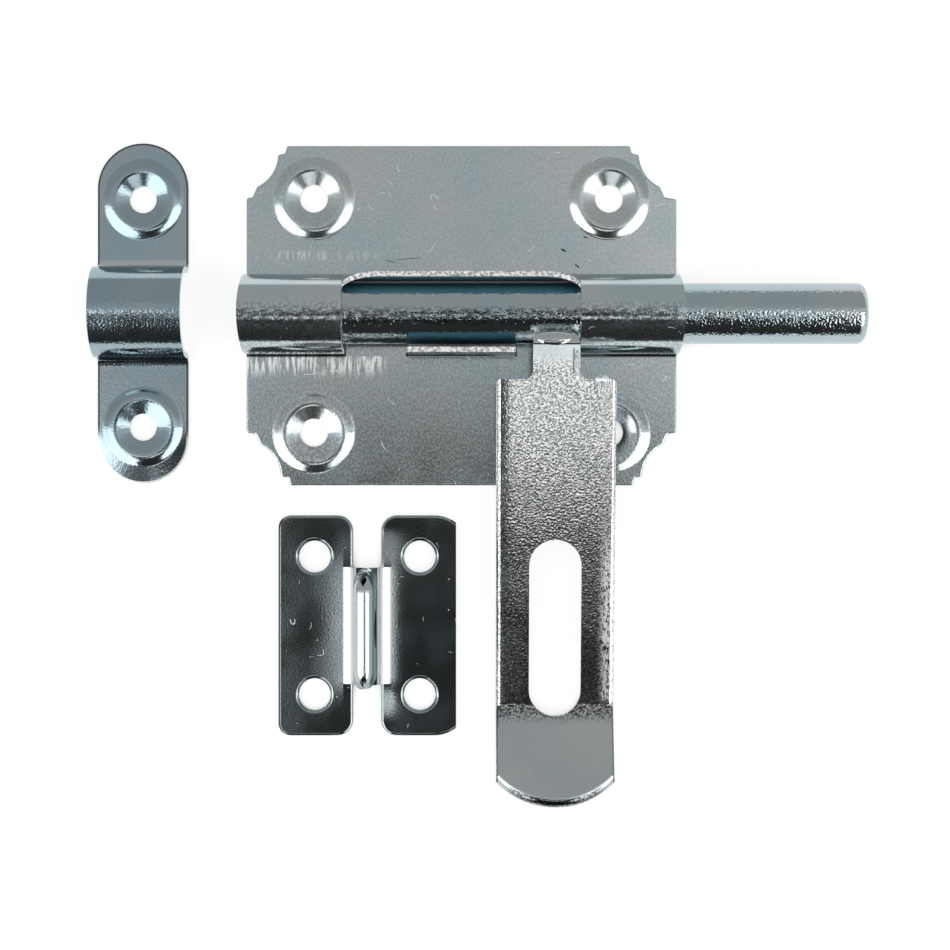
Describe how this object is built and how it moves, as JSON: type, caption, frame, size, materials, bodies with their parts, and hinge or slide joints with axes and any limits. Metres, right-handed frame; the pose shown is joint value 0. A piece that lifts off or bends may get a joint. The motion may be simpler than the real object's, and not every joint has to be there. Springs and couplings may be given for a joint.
{
  "type": "door bolt",
  "caption": "Zinc-plated door bolt: a round rod slides in a pressed guide plate and carries a slotted hasp that drops over a padlock staple, with a bridge keeper for the rod.",
  "frame": {"origin": "middle of the mounting plate, on the plane of its back face, at the centre of its four screw holes", "axes": "+X the way the bolt shoots, +Y across the plate away from the hasp, +Z away from the door"},
  "size_m": [0.1771, 0.1534, 0.02],
  "materials": {
    "plate_zinc": "smooth bright zinc plating with a cool blue cast, fine scuffs and rough sheared edges",
    "rod_zinc": "bright zinc plating on drawn bar, fine grain along the bar",
    "hasp_zinc": "grainy bright zinc plating, sparkling",
    "keeper_zinc": "smooth bright zinc plating with a cool blue cast",
    "staple_zinc": "glossy bright zinc plating with specks and scratches"
  },
  "bodies": {
    "root": {"mounting_plate": "plate_zinc", "keeper": "keeper_zinc", "staple_plate": "staple_zinc"},
    "bolt": {"bolt_rod": "rod_zinc"},
    "hasp": {"hasp": "hasp_zinc"}
  },
  "joints": [
    {"name": "bolt_slide", "type": "slide", "parent": "root", "child": "bolt", "axis": [1, 0, 0], "range_m": [-0.043, 0]},
    {"name": "hasp_lift", "type": "hinge", "parent": "bolt", "child": "hasp", "pos_m": [0.0216, 0, 0.00715], "axis": [-1, 0, 0], "range_deg": [0, 70]}
  ],
  "couplings": [
    {"joint": "hasp_lift", "follows": "bolt_slide", "rad_per_m": -28.4}
  ]
}
